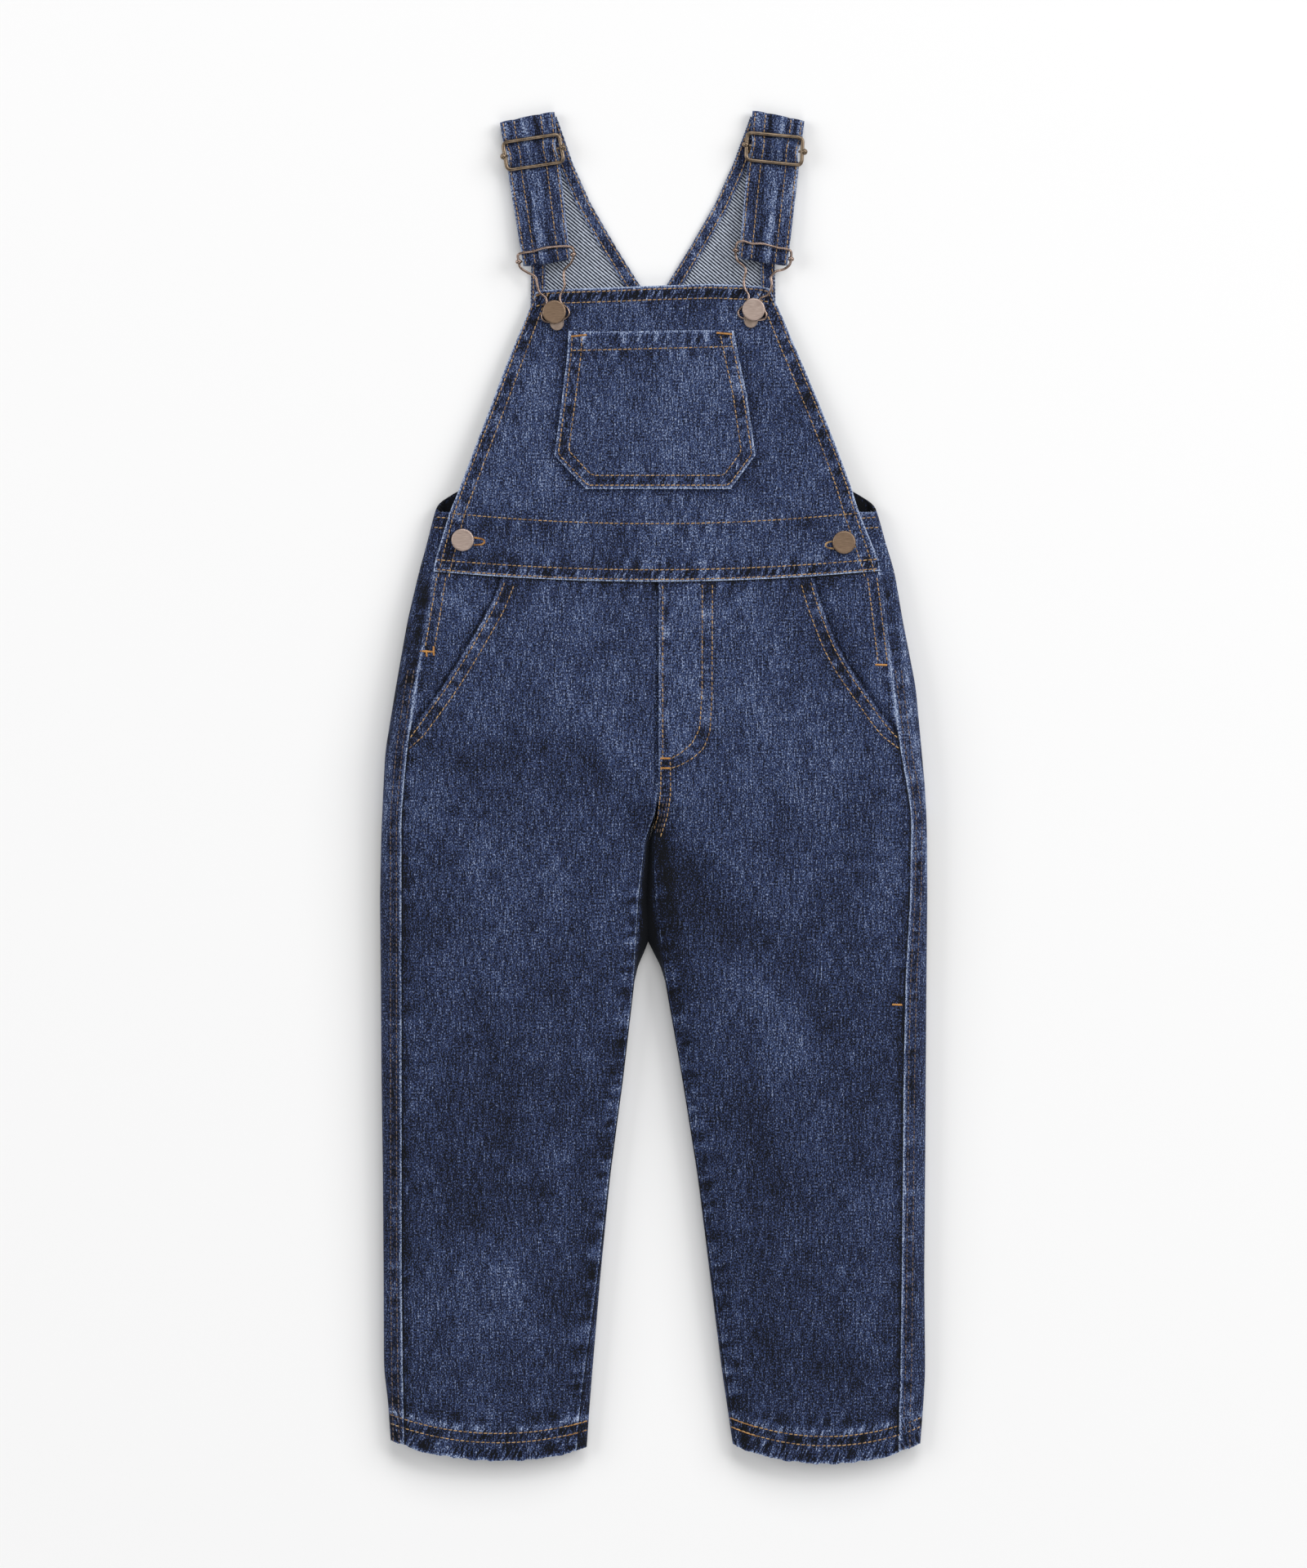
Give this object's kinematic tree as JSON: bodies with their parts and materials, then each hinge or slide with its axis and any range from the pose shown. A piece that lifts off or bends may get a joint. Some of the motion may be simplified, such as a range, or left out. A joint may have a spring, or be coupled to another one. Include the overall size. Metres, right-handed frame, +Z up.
{
  "type": "bib-and-brace dungarees",
  "caption": "Child's denim bib-and-brace dungarees laid flat and face up, with patch pocket, slant pockets, adjustable straps on wire hooks and tack buttons",
  "frame": {"origin": "on the floor, under the middle of the laid garment's box", "axes": "+Y up the garment from hems to shoulder folds, +X to the picture's right, +Z up off the floor"},
  "size_m": [0.3347, 0.8269, 0.0284],
  "materials": {
    "denim_front": "stone-washed indigo twill",
    "denim_back": "stone-washed indigo twill",
    "denim_hip": "stone-washed indigo twill",
    "denim_bib": "stone-washed indigo twill",
    "denim_strap": "stone-washed indigo twill",
    "slider_wire": "antique plated wire",
    "hook_wire": "antique copper-toned wire",
    "tack_button": "brushed antique cap"
  },
  "bodies": {
    "root": {"front_leg_left": "denim_front", "back_leg_left": "denim_back", "hip_side_left": "denim_hip", "strap_left": "denim_strap", "slider_left": "slider_wire", "hook_left": "hook_wire", "hook_tongue_left": "hook_wire", "bib_button_left": "tack_button", "waist_button_left": "tack_button", "front_leg_right": "denim_front", "back_leg_right": "denim_back", "hip_side_right": "denim_hip", "strap_right": "denim_strap", "slider_right": "slider_wire", "hook_right": "hook_wire", "hook_tongue_right": "hook_wire", "bib_button_right": "tack_button", "waist_button_right": "tack_button", "bib": "denim_bib", "bib_pocket": "denim_bib", "back_piece": "denim_back"}
  },
  "joints": []
}
